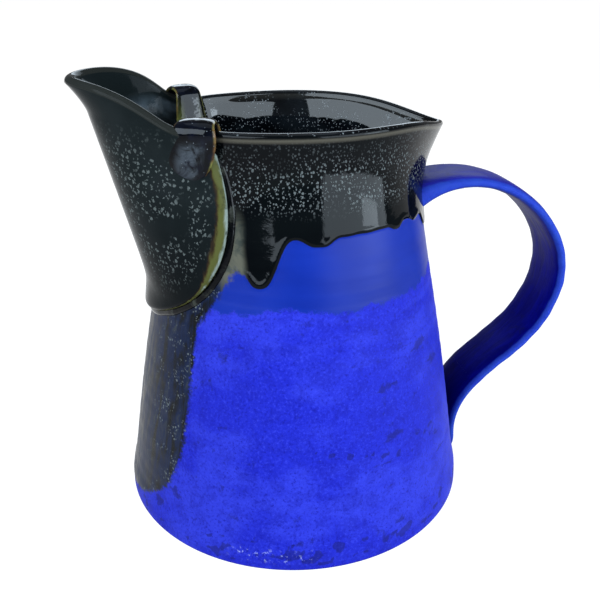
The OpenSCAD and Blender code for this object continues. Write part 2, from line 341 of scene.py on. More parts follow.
def value_of(piece, name):
    values = np.empty(len(piece.data.vertices), np.float32)
    piece.data.attributes[name].data.foreach_get("value", values)
    return values


def nearest(points, line):
    """How far each point is from the nearest point of a finely divided line."""
    tree = KDTree(len(line))
    for i, p in enumerate(line):
        tree.insert(p, i)
    tree.balance()
    return np.array([tree.find(p)[2] for p in points.tolist()])


def uneven(points, size, octaves, seed, stretch=(1, 1, 1)):
    """Noise over the points, spread evenly from 0 to 1, with features about size mm across."""
    at = points * np.array(stretch) / size + seed * 17.3
    values = np.array([noise.fractal(q, 0.9, 2.1, octaves) for q in at.tolist()])
    spread = np.empty(len(values))
    spread[np.argsort(values)] = np.linspace(0, 1, len(values))
    return spread


def finely(line, step):
    """The line's points with others between them, no further apart than step."""
    out = [line[:1]]
    for a, b in zip(line[:-1], line[1:]):
        n = max(1, int(np.ceil(np.linalg.norm(b - a) / step)))
        out.append(a + (b - a) * (np.arange(1, n + 1) / n)[:, None])
    return np.concatenate(out)


# ---- The pot ----

POT_COLUMNS = 480
ANGLES = np.arange(POT_COLUMNS) * 360 / POT_COLUMNS
BAND_H = 124.0  # the middle height of the satin band's lower edge
FAR = 40.0  # how far from the coat's edge distances are still told apart


def around(r, angle, z):
    """Points from radius, angle and height."""
    return np.stack([r * cos_deg(angle), r * sin_deg(angle), z], -1)


def ring(r, z):
    return around(np.broadcast_to(r, ANGLES.shape), ANGLES, np.broadcast_to(z, ANGLES.shape))


def on_wall(points, out=0.0):
    """The same angles and heights, moved onto the wall's outside or out mm off it."""
    angle, z = np.degrees(np.arctan2(points[:, 1], points[:, 0])), points[:, 2]
    return around(wall_r(angle, z) + out, angle, z)


def outside_rings():
    rings = [ring(cone_r(0.0) - FOOT_ROUND * (1 - sin_deg(t)), FOOT_ROUND * (1 - cos_deg(t)))
             for t in (0, 18, 36, 54, 72)]
    for z in np.concatenate([np.arange(FOOT_ROUND, 108, 2.1), np.arange(108, WAIST_H, 0.8)]):
        rings.append(ring(wall_r(ANGLES, z), z))
    for t in np.linspace(0, 1, 60):
        z = mix(WAIST_H, rim_z(ANGLES) - WALL / 2, t)
        rings.append(ring(wall_r(ANGLES, z), z))
    return rings


def lip_rings():
    middle = wall_r(ANGLES, rim_z(ANGLES) - WALL / 2) - WALL / 2
    return [ring(middle + WALL / 2 * cos_deg(t), rim_z(ANGLES) - WALL / 2 * (1 - sin_deg(t)))
            for t in range(15, 166, 15)]


def inside_rings():
    rings = []
    for t in np.linspace(1, 0, 34):
        z = mix(WAIST_H, rim_z(ANGLES) - WALL / 2, t)
        rings.append(ring(wall_r(ANGLES, z) - WALL, z))
    bottom = FLOOR_T + FLOOR_ROUND
    for z in np.linspace(WAIST_H, bottom, 60)[1:-1]:
        rings.append(ring(wall_r(ANGLES, z) - WALL, z))
    for t in np.linspace(0, 90, 9):
        rings.append(ring(cone_r(bottom) - WALL - FLOOR_ROUND * (1 - cos_deg(t)),
                          FLOOR_T + FLOOR_ROUND * (1 - sin_deg(t))))
    edge = float(cone_r(bottom)) - WALL - FLOOR_ROUND
    for r in np.linspace(edge, 3, 16)[1:]:
        rings.append(ring(r, FLOOR_T + 0.15 * math.cos(r / 5)))
    return rings


def wall_block():
    """The wall's outside as one solid block."""
    rings = outside_rings()
    rings.append(ring(1.0, RIM_H - 12))
    return face_outwards(loft("wall_block", rings))


def notch_block():
    """The notch that the wall is cut to behind the slab."""
    t = np.linspace(90, -90, 61)
    low = CHIN_H + 12
    curve = np.stack([40 * signed_pow(sin_deg(t), 1.2), 165 - (165 - low) * cos_deg(t) ** 1.2], -1)
    curve = np.concatenate([[[35, RIM_H + 20]], curve, [[-35, RIM_H + 20]]])
    loops = [np.stack([np.full(len(curve), x), curve[:, 0], curve[:, 1]], -1)
             for x in (0.0, -75.0, -150.0)]
    return face_outwards(loft("notch_block", loops))


def coat_edge_line():
    a = np.arange(0, 360.01, 0.1)
    z = drip_line(a)
    return finely(around(wall_r(a, z), a, z), 0.5)


def slab_edge_line():
    across = np.linspace(-1, 1, 240)
    return on_wall(slab_point(across, 1.0, SLAB_T / 2, EDGE_ROUND))


def burnt_places(points, a, h, gap):
    """Where the blue is worn or burnt dark: above 0 it is, and higher is darker.

    It takes each point, its angle, its height, and how far it is from the coat's edge.
    """
    shares = [
        # worn throwing rings on the right
        (uneven(points, 9, 5, 1, (0.45, 0.45, 1.7)),
         0.075 * ease((48 - np.abs(a - 318)) / 34) * ease((114 - h) / 22) * ease((h - 18) / 12)),
        # the foot
        (uneven(points, 6.5, 5, 2, (0.8, 0.8, 1.5)),
         (0.16 + 0.22 * bump(a - 250, 26)) * ease((18 - h) / 7) * ease((h - 2.5) / 4)),
        # beside the run
        (uneven(points, 6, 5, 3),
         0.11 * ease((gap + 17) / 9) * ease((66 - np.abs(a - 180)) / 10) * ease((108 - h) / 10)),
        # stray spots
        (uneven(points, 12, 5, 4), 0.010 * ease((120 - h) / 10)),
        # one long hairline, slanting down to the right
        (uneven(points, 4, 4, 8),
         0.75 * bump(h - 62 + (a - 262) * 0.35, 0.55) * ease((24 - np.abs(a - 284)) / 8)),
    ]
    return np.max([(u - 1 + share) * 14 for u, share in shares], axis=0)


def make_pot():
    """Body and coat of glaze as one skin: the coat is a thickness added to the wall.

    The values stored on it tell its materials where the coat, the satin band, worn spots
    and crystals lie.
    """
    under = [ring(r, 0.0) for r in (3, 25, 50, 70, 80, 86)]
    rings = under + outside_rings() + lip_rings() + inside_rings()
    pot = face_outwards(loft("pot", rings))
    notch = notch_block()
    cut(pot, notch)
    drop(notch)

    p = points_of(pot)
    angle = np.mod(np.degrees(np.arctan2(p[:, 1], p[:, 0])), 360)
    r, z = np.hypot(p[:, 0], p[:, 1]), p[:, 2]
    top = rim_z(angle)
    skin = np.abs(r - wall_r(angle, z)) < 0.35
    outside = (skin & (z > 0.05)) | (z < FOOT_ROUND)
    over_lip = (z > top - WALL / 2 - 0.01) & ~outside
    off_spout = np.abs(angle - 180)

    # distances in mm: to the coat's edge, and up from the satin band's ragged edge
    edge = np.full(len(p), FAR)
    near = outside & (np.abs(z - drip_line(angle)) < FAR + 5)
    edge[near] = nearest(p[near], coat_edge_line())
    edge = np.minimum(edge, FAR) * np.where(z > drip_line(angle), 1, -1)
    edge = np.where(outside, edge, FAR)
    ragged = (BAND_H + 2.2 * waves(angle, 5, 5, 3, 12) + 0.9 * waves(angle, 8, 6, 20, 60)
              + 7 * bump(off_handle(angle), 28))
    slab_gap = np.full(len(p), 60.0)
    slab_gap[outside] = nearest(p[outside], slab_edge_line())

    # the run under the spout lies thin and soft-edged, and so does the coat beside the slab
    run = ease((60 - off_spout) / 14) * ease((146 - z) / 16)
    halo_w = 11 + 6 * ease((155 - z) / 20)
    thin = np.maximum(run, ease((halo_w - slab_gap) / 8) * ease((178 - z) / 30))
    under_slab = ease((RUN_HALF - off_spout) / 5) * ease((z - 128) / 6)
    depth = np.maximum(edge, 0)
    rise = 1 - np.exp(-depth / 0.38)
    heavy = 0.62 + 0.38 * np.exp(-depth / 22)
    coat = rise * (0.65 * heavy + 0.25 * bump(depth - 1.4, 1.3))
    coat = coat * (1 - 0.8 * thin) * (1 - 0.9 * under_slab) * ease((top - z) / 12)
    coat = np.where(outside & (edge > 0), coat, 0)
    push = np.where(outside, coat + throwing_rings(angle, z), 0)
    # inside, the wall thickens a little below the lip, so its upper part faces up
    thicker = 4.4 * sin_deg(90 * np.clip((top - z) / 34, 0, 1))
    thicker *= ease((z - 90) / 60) * ease((off_spout - 50) / 25)
    liner = ~outside & ~over_lip & (z > FLOOR_T + FLOOR_ROUND)
    push = np.where(liner, 0.6 * throwing_rings(angle, z) - thicker, push)
    p[:, 0] += push * cos_deg(angle)
    p[:, 1] += push * sin_deg(angle)
    set_points(pot, p)

    def store(name, values, elsewhere):
        """Stores values for the outside's points, and one number for all the others."""
        every = np.full(len(p), elsewhere)
        every[outside] = values
        set_value(pot, name, every)

    skin_points = p[outside]
    a, h, gap = angle[outside], z[outside], edge[outside]
    store("burnt", burnt_places(skin_points, a, h, gap), -4.0)
    clouds = 0.65 * uneven(skin_points, 34, 3, 5)
    clouds += 0.35 * uneven(skin_points, 15, 3, 6, (0.3, 0.3, 2.2))
    store("clouds", clouds, 0.5)
    belt = ease((h - 163) / 9) * (1 - 0.72 * ease((h - 180) / 14)) * ease((199 - h) / 6)
    flakes = ease((uneven(skin_points, 14, 3, 7) + 0.12) / 0.45)
    store("snow", flakes * belt * ease((gap - 0.5) / 4), 0.0)
    scuffs = ease((h - 4.5) / 3) * ease((12 - h) / 3) * ease((16 - np.abs(a - 252)) / 7)
    store("scuffed", scuffs, 0.0)
    set_value(pot, "coat_edge", edge)
    set_value(pot, "band", z - ragged)
    set_value(pot, "run", run)
    set_value(pot, "thin", thin)
    # lip: a thin line round the rim's outer bead and a fainter one just inside it, where the
    # materials pale the black; partly the glaze thinning over the rim, partly a painted highlight on
    # the bead
    set_value(pot, "lip", np.where(outside, bump(top - z - 3.1, 0.65),
                                   0.15 * bump(top - z - 2.6, 0.8) * (top - z < 6)))
    set_value(pot, "inside", np.where(outside, 0, 1))
    return pot


# ---- The slab ----

def make_slab(block):
    """The wrapped slab. Its value "down" is 0 at the lip, 1 at the edge and below 0 inside."""
    columns, outer_rows, inner_rows = 260, 120, 40
    across = np.linspace(-1, 1, columns)
    outer = slab_point(across, 0.0, 0.0, 0)
    inner = slab_point(across, 0.0, SLAB_T, 0)
    middle, half = (outer + inner) / 2, (outer - inner) / 2
    rows, down_at = [], []

    def add(row, down):
        rows.append(row)
        down_at.append(np.full(columns, down))

    # the edge rolls over from the buried root to the slab's face
    add(slab_point(across, 1.0, SLAB_T + 3, EDGE_ROUND), 1.2)
    for t in np.linspace(0, 90, 9)[1:]:
        depth = SLAB_T * 0.62 * (1 - sin_deg(t))
        add(slab_point(across, 1.0, depth, EDGE_ROUND * float(cos_deg(t))), 1.0)
    for d in np.linspace(1, 0, outer_rows)[1:]:
        swell = -0.35 * bump((1 - d) * 80 - 6, 5)
        add(slab_point(across, d, swell, 0), d)
    for t in np.arange(15, 166, 15):
        lift = np.zeros((columns, 3))
        lift[:, 2] = SLAB_T / 2 * sin_deg(t)
        add(middle + half * cos_deg(t) + lift, -0.1)
    for d in np.linspace(0, 1, inner_rows)[:-1]:
        add(slab_point(across, d, SLAB_T + 3 * ease((d - 0.6) / 0.4), 0), -0.2 - d)
    loops = np.array(rows).transpose(1, 0, 2)
    slab = face_outwards(loft("spout_wrap", loops))
    set_value(slab, "down", np.concatenate([np.array(down_at).T.ravel(), [0, 0]]))
    cut(slab, block)
    p, down = points_of(slab), value_of(slab, "down")
    edge_line = slab_point(np.linspace(-1, 1, 400), 1.0, SLAB_T * 0.3, EDGE_ROUND)
    gap = nearest(p, finely(edge_line, 0.4))
    width = 1.2 + 5.8 * ease((p[:, 2] - 124) / 26)
    set_value(slab, "edge", np.clip(1 - gap / width, -0.5, 1) - 1.5 * (down < 0))
    trail = ease((uneven(p, 24, 2, 11, (1, 1, 0.25)) - 0.72) / 0.1)
    snow = np.maximum(ease((uneven(p, 18, 3, 12) - 0.15) / 0.35), trail)
    fade = ease((205 - p[:, 2]) / 22) * (1 - 0.75 * ease((150 - p[:, 2]) / 25))
    set_value(slab, "snow", snow * fade * ease((down + 0.01) / 0.05) * ease((gap - 5) / 5))
    return slab


def make_seam():
    """The roll of joining clay, pressed down unevenly along the slab's edge."""
    across = np.linspace(-0.97, 0.97, 260)

    def at(s):
        return on_wall(slab_point(s, 1.0, SLAB_T / 2, EDGE_ROUND + 1), 0.1)

    middle = at(across)
    ahead = at(across + 0.01) - middle
    out = middle * [1, 1, 0]
    out /= np.linalg.norm(out, axis=1)[:, None]
    side = np.cross(ahead, out)
    side /= np.linalg.norm(side, axis=1)[:, None]
    taper = 0.35 + 0.65 * ease((1 - np.abs(across)) / 0.12)
    size = ROLL_R * (1 + 0.10 * waves(across * 180, 12, 5, 8, 30)) * taper
    turns = np.arange(0, 360, 15)[None, :, None]
    section = cos_deg(turns) * out[:, None] + 1.25 * sin_deg(turns) * side[:, None]
    return face_outwards(loft("spout_seam", middle[:, None] + size[:, None, None] * section))


# ---- Straps ----

SECTION_ANGLES = np.arange(64) * 360 / 64


def strap_section(width, thick):
    return (thick / 2 * signed_pow(cos_deg(SECTION_ANGLES), 0.8),
            width / 2 * signed_pow(sin_deg(SECTION_ANGLES), 0.6))


def pillow_section(width, thick):
    """A strap's section with soft, full edges."""
    return (thick / 2 * cos_deg(SECTION_ANGLES),
            width / 2 * signed_pow(sin_deg(SECTION_ANGLES), 0.8))


def stand_ring(at, along, through, wide):
    """A section stood across a line in the XZ plane that goes through at, in the way along."""
    d = along / np.linalg.norm(along)
    return np.stack([at[0] + through * d[1], wide, at[1] - through * d[0]], -1)


def strap_ring(at, along, width, thick):
    return stand_ring(at, along, *strap_section(width, thick))


def set_rounds(piece, name, one_round, rounds):
    """Stores a section's values for every round of a loft, doubled to run from -1 to 1."""
    set_value(piece, name, np.concatenate([np.tile(one_round * 2, rounds), [0, 0]]))


def handle_at(i):
    k = int(min(2, i // HANDLE_STEPS))
    t = i / HANDLE_STEPS - k
    return bezier(HANDLE[k], t), bezier_slope(HANDLE[k], t)


def strap_t_at(i):
    return STRAP_T + STRAP_TAPER * ease(1 - i / 8) - STRAP_TAPER * ease((i - 30) / 6)


def make_handle(block):
    loops = []
    for i in np.linspace(0, 3 * HANDLE_STEPS, 190):
        at, along = handle_at(i)
        width = STRAP_W + 0.35 * math.sin(i * 1.7) + 0.25 * math.sin(i * 3.9 + 1)
        loops.append(strap_ring(at, along, width, strap_t_at(i) + 0.12 * math.sin(i * 2.3)))
    return finish_strap("strap_handle", loops, block)


def finish_strap(name, loops, block):
    """A loft that knows how far across and through the strap each point is, cut at the wall."""
    strap = face_outwards(loft(name, loops))
    through, wide = strap_section(1, 1)
    set_rounds(strap, "across", wide, len(loops))
    set_rounds(strap, "through", through, len(loops))
    return cut(strap, block)


def make_fillet(name, start, end, root, swell, tail, block):
    """The strap's section swollen where it meets the wall, for the clay smoothed round it.

    start, end and root are steps along the handle, and it swells most at the root. A tail is
    how many mm it runs on past the strap's end, down the wall, as it thins away.
    """
    loops = []
    for i in np.linspace(start, end, 40):
        at, along = handle_at(i)
        grow = 0.25 + swell * (1 - abs(i - root) / (end - start)) ** 2
        loops.append(strap_ring(at, along, STRAP_W + grow, strap_t_at(i) + grow))
    for t in np.linspace(0, 1, 16)[1:] if tail else ():
        low = at[1] - tail * t
        out = mix(float(at[0] - cone_r(at[1])), -1.1, t)
        width = (1 - 0.25 * t ** 2) * (STRAP_W + grow)
        thick = (strap_t_at(end) + grow) * (1 - 0.75 * t)
        loops.append(strap_ring(np.array([float(cone_r(low)) + out, low]), along, width, thick))
    return finish_strap(name, loops, block)


def clip_line(t):
    """A clip's middle line, from inside the pot over the rim to the slab's end."""
    if t < 0.3:
        return np.array([CLIP_MID - CLIP_HALF - 3 * (1 - t / 0.3), mix(181, RIM_H - 1, t / 0.3)])
    if t < 0.6:
        a = 180 - (t - 0.3) * 600
        return np.array([CLIP_MID + CLIP_HALF * signed_pow(cos_deg(a), 0.75),
                         mix(RIM_H - 1, CLIP_CROWN, max(0.0, float(sin_deg(a))) ** 0.75)])
    s = (t - 0.6) / 0.4
    return np.array([CLIP_MID + CLIP_HALF - CLIP_LEAN * s, mix(RIM_H - 1, CLIP_FOOT_H, s)])


def clip_width(t):
    from_end = min(t / 0.12, (1 - t) / 0.22, 1)
    return max(0.1, math.sqrt(max(0, 1 - (1 - from_end) ** 2))) * (CLIP_W - 5 * bump(t - 0.4, 0.2))


def make_clip(name, side):
    """side is 1 for the left clip and -1 for the right."""
    steps = 120
    line = np.array([clip_line(i / steps) for i in range(steps + 1)])
    for _ in range(14):  # rounds the path's corners
        line[1:-1] = line[1:-1] * 0.5 + (line[:-2] + line[2:]) * 0.25
    loops = []
    for i in range(steps + 1):
        along = line[min(steps, i + 1)] - line[max(0, i - 1)]
        width = clip_width(i / steps)
        tongue = float(ease((i / steps - 0.58) / 0.3))
        thick = CLIP_T * (0.35 + 0.65 * width / CLIP_W) + 1.8 * tongue
        through, wide = pillow_section(width * (1 if side > 0 else RIGHT_CLIP_WIDTH), thick)
        loops.append(stand_ring(line[i], along, through, wide - 3 * side * tongue))
    clip = face_outwards(loft(name, loops))
    set_rounds(clip, "across", pillow_section(1, 1)[1], steps + 1)
    way = np.repeat(np.arange(steps + 1) / steps, len(SECTION_ANGLES))
    set_value(clip, "along", np.concatenate([way, [0, 1]]))
    turn = Matrix.Rotation(math.radians(180 + side * CLIP_ANGLE), 4, "Z")
    lean = Matrix.Rotation(math.radians(side * CLIP_TURN), 4, "Z")
    middle = Matrix.Translation((CLIP_MID, 0, 0 if side > 0 else RIGHT_CLIP_LIFT))
    place = turn @ middle @ lean @ Matrix.Translation((-CLIP_MID, 0, 0))
    rotation, shift = np.array(place.to_3x3()), np.array(place.translation)
    set_points(clip, points_of(clip) @ rotation.T + shift)
    return clip


# ---- Materials ----

class Nodes:
    """Short calls for building one material's nodes, whose places are in mm."""

    def __init__(self, name, roughness, level):
        self.material = bpy.data.materials.new(name)
        self.material.use_nodes = True
        self.tree = self.material.node_tree
        self.shader = self.tree.nodes["Principled BSDF"]
        self.shader.inputs["Roughness"].default_value = roughness
        self.shader.inputs["IOR"].default_value = 1.5
        self.shader.inputs["Specular IOR Level"].default_value = level
        place = self.node("ShaderNodeTexCoord").outputs["Object"]
        scale = self.node("ShaderNodeVectorMath", operation="SCALE")
        self.link(place, scale.inputs[0])
        scale.inputs["Scale"].default_value = 1 / MM
        self.mm = scale.outputs[0]

    def node(self, kind, **settings):
        made = self.tree.nodes.new(kind)
        for key, value in settings.items():
            setattr(made, key, value)
        return made

    def link(self, source, target):
        if hasattr(source, "is_output"):
            self.tree.links.new(source, target)
        elif isinstance(source, tuple) and len(source) == 3 and target.type == "RGBA":
            target.default_value = (*source, 1)
        else:
            target.default_value = source

    def set(self, socket, source):
        self.link(source, self.shader.inputs[socket])

    def math(self, operation, a, b=0.0, c=0.0):
        made = self.node("ShaderNodeMath", operation=operation)
        for socket, value in zip(made.inputs, (a, b, c)):
            self.link(value, socket)
        return made.outputs[0]

    def add(self, a, b):
        return self.math("ADD", a, b)

    def times(self, a, b):
        return self.math("MULTIPLY", a, b)

    def muladd(self, a, b, c):
        return self.math("MULTIPLY_ADD", a, b, c)

    def most(self, a, b):
        return self.math("MAXIMUM", a, b)

    def step(self, value, low, high, out_low=0.0, out_high=1.0):
        """Eases from out_low to out_high as value goes from low to high."""
        made = self.node("ShaderNodeMapRange", interpolation_type="SMOOTHSTEP")
        sockets = ("Value", "From Min", "From Max", "To Min", "To Max")
        for socket, v in zip(sockets, (value, low, high, out_low, out_high)):
            self.link(v, made.inputs[socket])
        return made.outputs[0]

    def color(self, factor, a, b):
        """A colour between a and b. The Mix node's sockets for colours are 6 and 7, and 2."""
        made = self.node("ShaderNodeMix", data_type="RGBA")
        for socket, v in ((0, factor), (6, a), (7, b)):
            self.link(v, made.inputs[socket])
        return made.outputs[2]

    def value(self, name):
        return self.node("ShaderNodeAttribute", attribute_name=name).outputs["Fac"]

    def stretched(self, x, y, z):
        """Places scaled along each axis: less than 1 draws the noise in them out."""
        made = self.node("ShaderNodeMapping")
        self.link(self.mm, made.inputs["Vector"])
        made.inputs["Scale"].default_value = (x, y, z)
        return made.outputs[0]

    def centred_noise(self, *how, **settings):
        """Noise from -0.5 to 0.5."""
        return self.math("SUBTRACT", self.noise(*how, **settings), 0.5)

    def noise(self, size, detail=2.0, rough=0.5, vector=None, warp=0.0):
        """Noise from 0 to 1 with features about size mm across."""
        made = self.node("ShaderNodeTexNoise")
        self.link(vector or self.mm, made.inputs["Vector"])
        made.inputs["Scale"].default_value = 1 / size
        made.inputs["Detail"].default_value = detail
        made.inputs["Roughness"].default_value = rough
        made.inputs["Distortion"].default_value = warp
        return made.outputs["Fac"]

    def blend(self, factor, a, b):
        """A number between a and b. The Mix node's sockets for numbers are 2 and 3, and 0."""
        made = self.node("ShaderNodeMix", data_type="FLOAT")
        for socket, v in ((0, factor), (2, a), (3, b)):
            self.link(v, made.inputs[socket])
        return made.outputs[0]

    def wobbled(self, amount, vector=None):
        """Places pushed by up to amount mm along each axis, so that dots in them are uneven."""
        drift = self.node("ShaderNodeTexNoise")
        self.link(self.mm, drift.inputs["Vector"])
        drift.inputs["Scale"].default_value = 1 / 1.6
        bend = self.node("ShaderNodeVectorMath", operation="MULTIPLY_ADD")
        self.link(drift.outputs["Color"], bend.inputs[0])
        bend.inputs[1].default_value = (amount,) * 3
        self.link(vector or self.mm, bend.inputs[2])
        return bend.outputs[0]

    def place(self):
        """The outputs X, Y and Z, in mm."""
        made = self.node("ShaderNodeSeparateXYZ")
        self.link(self.mm, made.inputs[0])
        return made.outputs

    def unrolled(self, radius, long=1.0):
        """Places on the wall laid out flat: mm round it at that radius, and up it over long."""
        place = self.place()
        turn = self.math("ARCTAN2", place["Y"], self.times(place["X"], -1.0))
        flat = self.node("ShaderNodeCombineXYZ")
        self.link(self.times(turn, radius), flat.inputs["X"])
        self.link(self.times(place["Z"], 1 / long), flat.inputs["Y"])
        return flat.outputs[0]

    def dots(self, spacing, size, share, vector=None, flat=False):
        """Separate round dots, spacing mm apart and up to size mm across.

        share is how much of the places for a dot hold one.
        """
        cells = self.node("ShaderNodeTexVoronoi", voronoi_dimensions="2D" if flat else "3D")
        self.link(vector or self.mm, cells.inputs["Vector"])
        cells.inputs["Scale"].default_value = 1 / spacing
        pick = self.node("ShaderNodeSeparateColor")
        self.link(cells.outputs["Color"], pick.inputs[0])
        reach = self.times(self.add(self.times(pick.outputs[0], 0.7), 0.3), size / 2 / spacing)
        within, soft = self.math("SUBTRACT", reach, cells.outputs["Distance"]), 0.10 * size / spacing
        held = self.math("LESS_THAN", pick.outputs[1], share)
        return self.times(self.step(within, -soft, soft), held)

    def flat_dots(self, drift, first, second, strength):
        """Two sizes of dots together, laid out flat; the second is as strong as strength says."""
        large, small = self.dots(*first, drift, True), self.dots(*second, drift, True)
        return self.most(large, self.times(small, strength))

    def bump(self, height, distance_mm, strength=1.0, under=None):
        made = self.node("ShaderNodeBump")
        self.link(height, made.inputs["Height"])
        made.inputs["Distance"].default_value = distance_mm * MM
        made.inputs["Strength"].default_value = strength
        if under is not None:
            self.link(under, made.inputs["Normal"])
        return made.outputs[0]


BLUE = (0.0045, 0.0085, 0.245)
BLUE_PALE = (0.0115, 0.0185, 0.295)
BLUE_DEEP = (0.0010, 0.0020, 0.135)
BLUE_BURNT = (0.0020, 0.0028, 0.045)
BAND_BLUE = (0.0002, 0.0085, 0.130)
INK = (0.0006, 0.0009, 0.0014)


def matte_blue(n, clouds):
    """Dry cobalt glaze, clouded and finely grained, with the patches and grain it is made of."""
    patches = n.noise(8, 4, 0.62, warp=0.6)
    grain = n.noise(1.3, 4, 0.75)
    colour = n.color(n.step(clouds, 0.25, 0.85), BLUE, BLUE_PALE)
    colour = n.color(n.times(n.step(patches, 0.56, 0.36), 0.35), colour, BLUE_DEEP)
    colour = n.color(n.times(n.step(grain, 0.52, 0.68), 0.5), colour, (0.022, 0.032, 0.37))
    colour = n.color(n.times(n.step(grain, 0.48, 0.32), 0.85), colour, BLUE_DEEP)
    return colour, patches, grain


def pot_material():
    n = Nodes("blue_and_black_glaze", 0.6, 0.075)
    fine = n.centred_noise(2.8, 5, 0.72)
    thin, run = n.value("thin"), n.value("run")
    soft = n.step(n.most(thin, run), 0.1, 0.9)

    # the black coat's edge: crisp where it is thick, feathered and frayed where it thins
    frayed = n.muladd(fine, n.times(soft, 8.5), n.value("coat_edge"))
    in_coat = n.step(n.math("DIVIDE", frayed, n.muladd(soft, 1.6, 0.18)), -0.6, 1.0)
    # the smoother band that the coat has drawn down below its edge
    in_band = n.step(n.muladd(fine, 9.0, n.value("band")), -0.7, 1.2)
    burnt = n.step(n.muladd(fine, 3.5, n.value("burnt")), -0.3, 0.6)

    clouds = n.value("clouds")
    colour, patches, grain = matte_blue(n, clouds)
    colour = n.color(n.times(burnt, 0.55), colour, BLUE_BURNT)
    scratch = n.times(n.step(fine, 0.07, 0.12), n.value("scuffed"))
    colour = n.color(n.times(scratch, 0.8), colour, (0.20, 0.22, 0.42))
    band_colour = n.color(clouds, BAND_BLUE, (0.0014, 0.0130, 0.17))
    colour = n.color(in_band, colour, band_colour)

    # the run under the spout: slate blue and olive, streaked as it flowed
    flow = n.noise(4.5, 5, 0.65, n.stretched(1.0, 1.0, 0.14), warp=0.7)
    slate = n.color(n.step(flow, 0.36, 0.60), (0.0010, 0.0016, 0.0016), (0.0018, 0.0062, 0.0240))
    slate = n.color(n.times(n.step(flow, 0.56, 0.68), 0.6), slate, (0.022, 0.025, 0.022))
    halo = n.color(n.step(patches, 0.38, 0.64), (0.060, 0.059, 0.045), (0.026, 0.031, 0.027))
    coat = n.color(n.step(thin, 0.15, 0.85), n.color(clouds, INK, (0.0012, 0.0019, 0.0023)), halo)
    coat = n.color(n.step(run, 0.2, 0.9), coat, slate)

    # pale crystals in the black, thickest in a belt under the rim
    drift = n.wobbled(0.7, n.unrolled(WAIST_R, 1.15))
    crystals = n.flat_dots(drift, (1.75, 1.05, 0.85), (1.3, 0.6, 0.5), 0.8)
    crystals = n.times(crystals, n.most(n.value("snow"), n.times(run, n.step(patches, 0.5, 0.62))))
    coat = n.color(n.times(crystals, 0.75), coat, (0.082, 0.093, 0.094))
    # the rim line, paled: partly glaze thinning over the rim, partly a painted highlight along its
    # bead
    coat = n.color(n.times(n.value("lip"), 0.7), coat, (0.078, 0.070, 0.054))
    n.set("Base Color", n.color(in_coat, colour, coat))

    blue_rough = n.blend(in_band, n.step(grain, 0.3, 0.8, 0.58, 0.72), 0.38)
    run_rough = n.muladd(run, n.step(flow, 0.3, 0.7, 0.10, 0.28), 0.05)
    black_rough = n.muladd(thin, 0.12, n.muladd(crystals, 0.30, run_rough))
    n.set("Roughness", n.blend(in_coat, blue_rough, black_rough))

    dry = n.math("SUBTRACT", 1.0, n.most(in_coat, n.times(in_band, 0.8)))
    powder = n.times(n.muladd(patches, 0.8, n.muladd(burnt, -0.6, grain)), dry)
    relief = n.muladd(crystals, 0.4, n.times(patches, 0.9))
    n.set("Normal", n.bump(n.muladd(relief, in_coat, powder), 0.10, 0.8))
    return n.material


def liner_material():
    """The black coat inside, wet-looking, with a fine snow of crystals near the rim."""
    n = Nodes("black_liner_glaze", 0.05, 0.185)
    drift = n.wobbled(0.7, n.unrolled(RIM_R))
    dots = n.flat_dots(drift, (1.7, 0.75, 0.6), (2.6, 1.1, 0.4), 0.8)
    dots = n.times(dots, n.step(n.noise(17, 3, 0.6), 0.40, 0.60))
    dots = n.times(dots, n.step(n.place()["Z"], 168, 186))
    black = n.color(n.step(n.noise(20, 3, 0.5), 0.4, 0.7), INK, (0.0028, 0.0040, 0.0052))
    colour = n.color(n.times(dots, 0.5), black, (0.16, 0.175, 0.185))
    # the line just inside the rim, paled: partly thin glaze, partly a painted highlight on the rim's
    # bead
    n.set("Base Color", n.color(n.times(n.value("lip"), 0.8), colour, (0.115, 0.105, 0.085)))
    n.set("Roughness", n.add(0.045, n.times(dots, 0.25)))
    normal = n.bump(n.noise(13, 2, 0.5), 0.35, 0.4)
    n.set("Normal", n.bump(dots, 0.04, 0.5, normal))
    return n.material


def foot_material():
    """Bare fired clay under the foot."""
    n = Nodes("bare_clay", 0.85, 0.25)
    speck = n.dots(2.4, 0.7, 0.4, n.wobbled(0.4))
    colour = n.color(n.step(n.noise(12, 4, 0.6), 0.35, 0.65), (0.42, 0.36, 0.29), (0.52, 0.46, 0.38))
    n.set("Base Color", n.color(n.times(speck, 0.8), colour, (0.10, 0.07, 0.05)))
    n.set("Roughness", n.step(n.noise(2, 3, 0.6), 0.3, 0.7, 0.78, 0.92))
    n.set("Normal", n.bump(n.noise(0.9, 4, 0.7), 0.12, 0.8))
    return n.material


